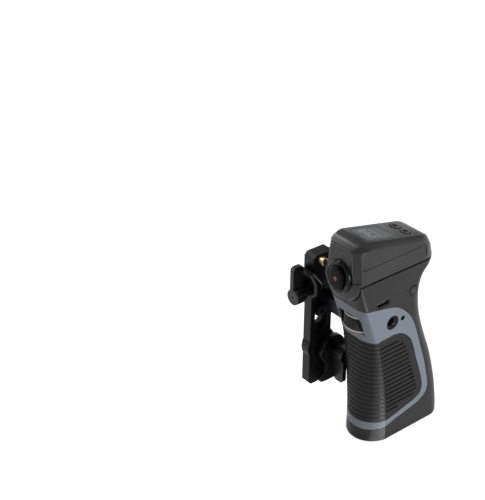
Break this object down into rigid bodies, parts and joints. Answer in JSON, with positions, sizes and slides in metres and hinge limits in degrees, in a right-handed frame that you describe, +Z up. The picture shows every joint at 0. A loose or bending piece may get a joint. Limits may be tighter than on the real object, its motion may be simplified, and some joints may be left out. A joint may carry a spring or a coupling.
{
  "type": "wireless follow focus handgrip",
  "caption": "Upright camera handgrip with a thumb focus wheel, record button, display, keys and a clamping side bracket.",
  "frame": {"origin": "middle of the grip's flat base, on the grip's mid plane", "axes": "+Z up the grip, -Y toward the record button and wheel, +X the outer side with the charging socket"},
  "size_m": [0.056, 0.0802, 0.1366],
  "materials": {
    "dark_plastic": "fine matte texture",
    "black_plastic": "satin",
    "blue_grey_plastic": "satin",
    "ribbed_rubber": "matte, ribbed",
    "black_anodised": "black anodised, satin",
    "bright_steel": "satin",
    "knurled_band": "black anodised, knurled",
    "champagne_metal": "champagne anodised",
    "brass": "satin",
    "dark_glass": "gloss, dark tinted",
    "circuit_board": "matte",
    "light_guide": "frosted",
    "battery_can": "film-wrapped can"
  },
  "bodies": {
    "grip": {"shell_outer": "dark_plastic", "shell_inner": "dark_plastic", "side_frame": "blue_grey_plastic", "rubber_panel": "ribbed_rubber", "base_cap": "dark_plastic", "base_screw_front": "bright_steel", "base_screw_back": "bright_steel", "head_housing": "dark_plastic", "record_bezel": "dark_plastic", "record_switch": "black_plastic", "display_glass": "dark_glass", "display_module": "black_plastic", "top_board": "circuit_board", "usb_receptacle": "bright_steel", "light_pipe": "light_guide", "main_board": "circuit_board", "insert_outer": "bright_steel", "insert_inner": "bright_steel", "wheel_axle": "bright_steel", "wheel_carrier": "black_plastic", "wheel_encoder": "black_plastic", "battery_cell": "battery_can", "battery_cradle": "black_plastic", "neck_arm": "black_anodised", "arm_screw": "bright_steel", "arm_pin": "bright_steel", "slot_screw": "bright_steel", "slot_nut": "bright_steel"},
    "record_key": {"record_button": "black_plastic"},
    "inner_key": {"key_inner": "black_plastic"},
    "outer_key": {"key_outer": "black_plastic"},
    "power_button": {"power_key": "black_plastic"},
    "thumb_wheel": {"wheel_core": "knurled_band", "wheel_ring_lower": "champagne_metal", "wheel_ring_upper": "champagne_metal"},
    "bracket": {"upright": "black_anodised"},
    "upper_clamp_jaw": {"upper_jaw": "black_anodised"},
    "upper_clamp_lever": {"upper_lever": "black_anodised", "upper_clamp_screw": "bright_steel", "upper_lever_screw": "bright_steel"},
    "lower_clamp_jaw": {"lower_jaw": "black_anodised"},
    "lower_clamp_lever": {"lower_lever": "black_anodised", "lower_clamp_screw": "bright_steel", "lower_lever_screw": "bright_steel"},
    "spring_lock_pin": {"lock_pin": "brass"}
  },
  "joints": [
    {"name": "record_press", "type": "slide", "parent": "grip", "child": "record_key", "axis": [0, 1, 0], "range_m": [0, 0.001], "stiffness_N_per_m": 300},
    {"name": "inner_key_press", "type": "slide", "parent": "grip", "child": "inner_key", "axis": [0, -0.2215, -0.9751], "range_m": [0, 0.0006], "stiffness_N_per_m": 300},
    {"name": "outer_key_press", "type": "slide", "parent": "grip", "child": "outer_key", "axis": [0, -0.2215, -0.9751], "range_m": [0, 0.0006], "stiffness_N_per_m": 300},
    {"name": "power_press", "type": "slide", "parent": "grip", "child": "power_button", "axis": [-1, 0, 0], "range_m": [0, 0.0006], "stiffness_N_per_m": 300},
    {"name": "wheel_turn", "type": "hinge", "parent": "grip", "child": "thumb_wheel", "pos_m": [0, -0.0328, 0.0832], "axis": [0, 0, 1], "continuous": true},
    {"name": "bracket_height", "type": "slide", "parent": "grip", "child": "bracket", "axis": [0, 0, 1], "range_m": [0, 0.006]},
    {"name": "upper_jaw_slide", "type": "slide", "parent": "bracket", "child": "upper_clamp_jaw", "axis": [0, -1, 0], "range_m": [0, 0.0025]},
    {"name": "upper_lever_turn", "type": "hinge", "parent": "upper_clamp_jaw", "child": "upper_clamp_lever", "pos_m": [-0.0316, -0.0525, 0.0882], "axis": [0, -1, 0], "range_deg": [0, 720]},
    {"name": "lower_jaw_slide", "type": "slide", "parent": "bracket", "child": "lower_clamp_jaw", "axis": [1, 0, 0], "range_m": [0, 0.001]},
    {"name": "lower_lever_turn", "type": "hinge", "parent": "lower_clamp_jaw", "child": "lower_clamp_lever", "pos_m": [-0.0205, -0.0278, 0.0451], "axis": [1, 0, 0], "range_deg": [0, 288]},
    {"name": "lock_pin_pull", "type": "slide", "parent": "bracket", "child": "spring_lock_pin", "axis": [1, 0, 0], "range_m": [0, 0.002], "stiffness_N_per_m": 300}
  ],
  "couplings": [
    {"joint": "upper_jaw_slide", "follows": "upper_lever_turn", "m_per_rad": 0.0001989},
    {"joint": "lower_jaw_slide", "follows": "lower_lever_turn", "m_per_rad": 0.0001989}
  ]
}
